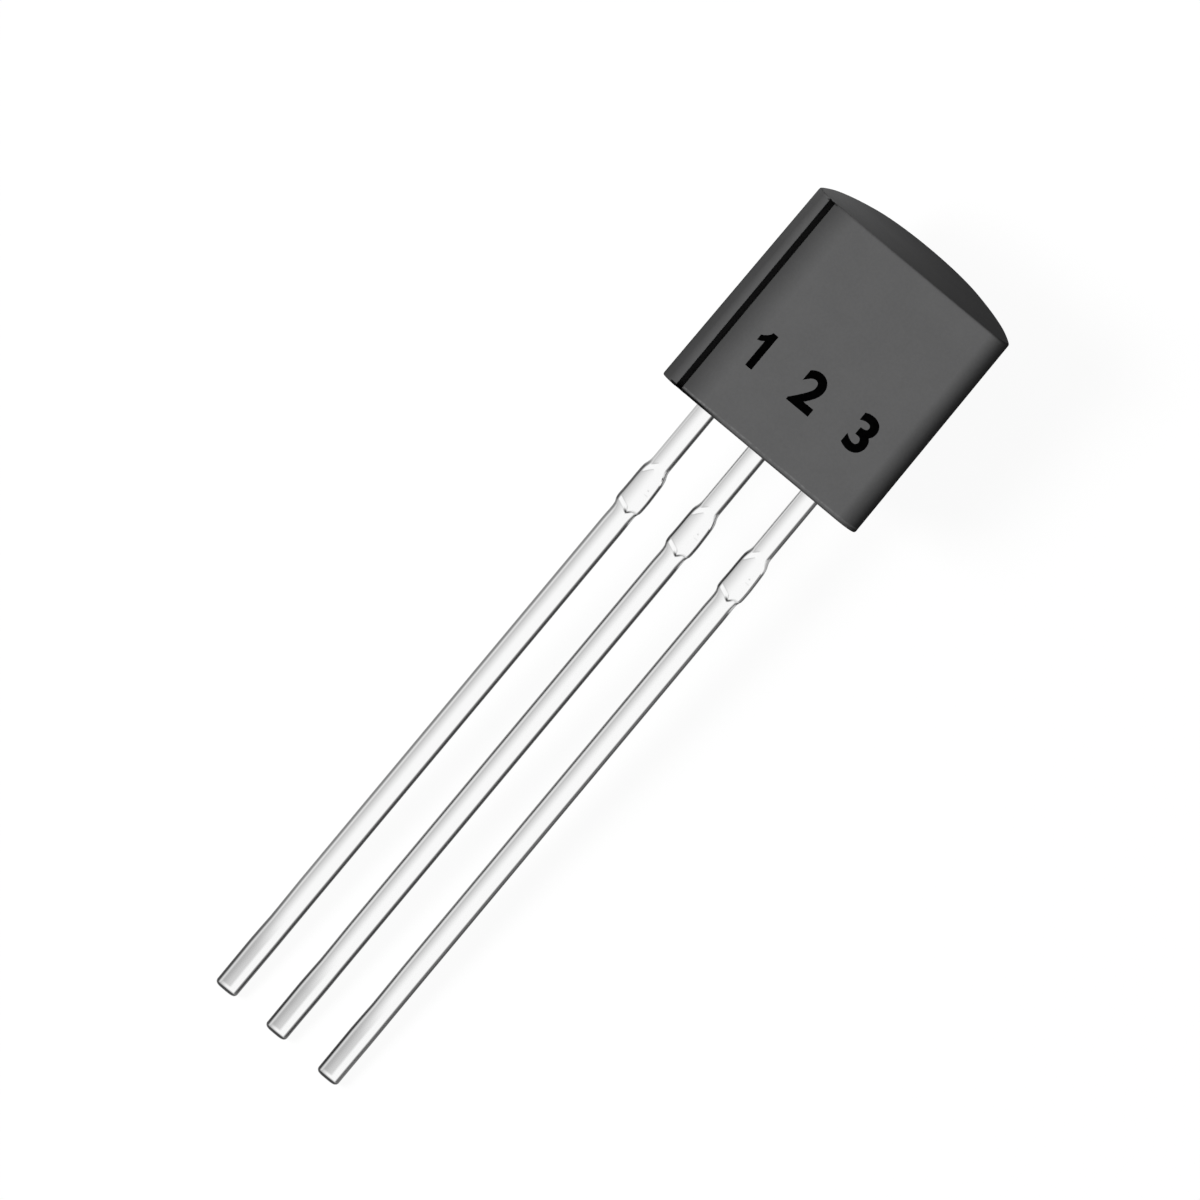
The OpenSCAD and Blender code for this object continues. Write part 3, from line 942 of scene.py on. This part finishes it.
# %% Floor
def ray_kind(tree, *kinds):
    """1 for the kinds of ray that are named."""
    rays = tree.nodes.new("ShaderNodeLightPath")
    first, *others = (Sum(tree, rays.outputs[kind]) for kind in kinds)
    for other in others:
        first = first.math("MAXIMUM", other)
    return first


paper = bpy.data.meshes.new("white_floor")
paper.from_pydata([(-2, -2, 0), (2, -2, 0), (2, 2, 0), (-2, 2, 0)], [], [(0, 1, 2, 3)])
floor = linked("white_floor", paper)
white, tree, shader = new_finish("white_paper", Base_Color=(0.07, 0.07, 0.07, 1), Roughness=1.0,
                                 Specular_IOR_Level=0.0, Emission_Color=(1, 1, 1, 1))
seen = ray_kind(tree, "Is Camera Ray", "Is Glossy Ray", "Is Transmission Ray")
tree.links.new((seen * 0.94).socket, shader.inputs["Emission Strength"])
paper.materials.append(white)

# %% Sky and lamps
SKY = 0.2                               # how strongly the sky lights what isn't a mirror

world = bpy.data.worlds.new("studio_sky")
bpy.context.scene.world = world
world.use_nodes = True
tree = world.node_tree
sky = tree.nodes["Background"]
where = tree.nodes.new("ShaderNodeTexCoord")
way = add_node(tree, "ShaderNodeSeparateXYZ", Vector=where.outputs["Generated"])
to_right, to_end = Sum(tree, way.outputs["X"]), Sum(tree, way.outputs["Y"])
left_card = to_right.step(-0.42, 0.05, 0.43, 0.0) * to_right.step(-0.95, -0.45, 0.35, 1.0)
right_card = to_right.step(0.62, 1.0, 0.0, 0.85)
beside = to_end.step(-0.12, 0.08, 1.0, 0.0)
mirrored = 1.0 - (left_card + right_card) * beside * to_end.step(-0.8, -0.5)
plain = ray_kind(tree, "Is Camera Ray", "Is Transmission Ray")
strength = (mirrored * ray_kind(tree, "Is Glossy Ray")).math("MAXIMUM", plain)
tree.links.new(strength.math("MAXIMUM", SKY).socket, sky.inputs["Strength"])
sky.inputs["Color"].default_value = (1, 1, 1, 1)


def add_lamp(name, spot, aim, side, power):
    """A square lamp that lights and is neither seen nor mirrored."""
    light = bpy.data.lights.new(name, "AREA")
    light.shape, light.size, light.energy = "SQUARE", side, power
    thing = linked(name, light)
    turn = (Vector(spot) - Vector(aim)).to_track_quat("Z", "Y")
    thing.matrix_world = Matrix.Translation(spot) @ turn.to_matrix().to_4x4()
    thing.visible_camera = False
    thing.visible_glossy = False


add_lamp("key_lamp", (-0.156, -0.085, 0.240), (0, 0.005, 0), 0.10, 0.85)
add_lamp("end_lamp", (-0.0048, 0.0119, 0.0030), (-0.001, 0.0095, 0.0026), 0.002, 0.000155)
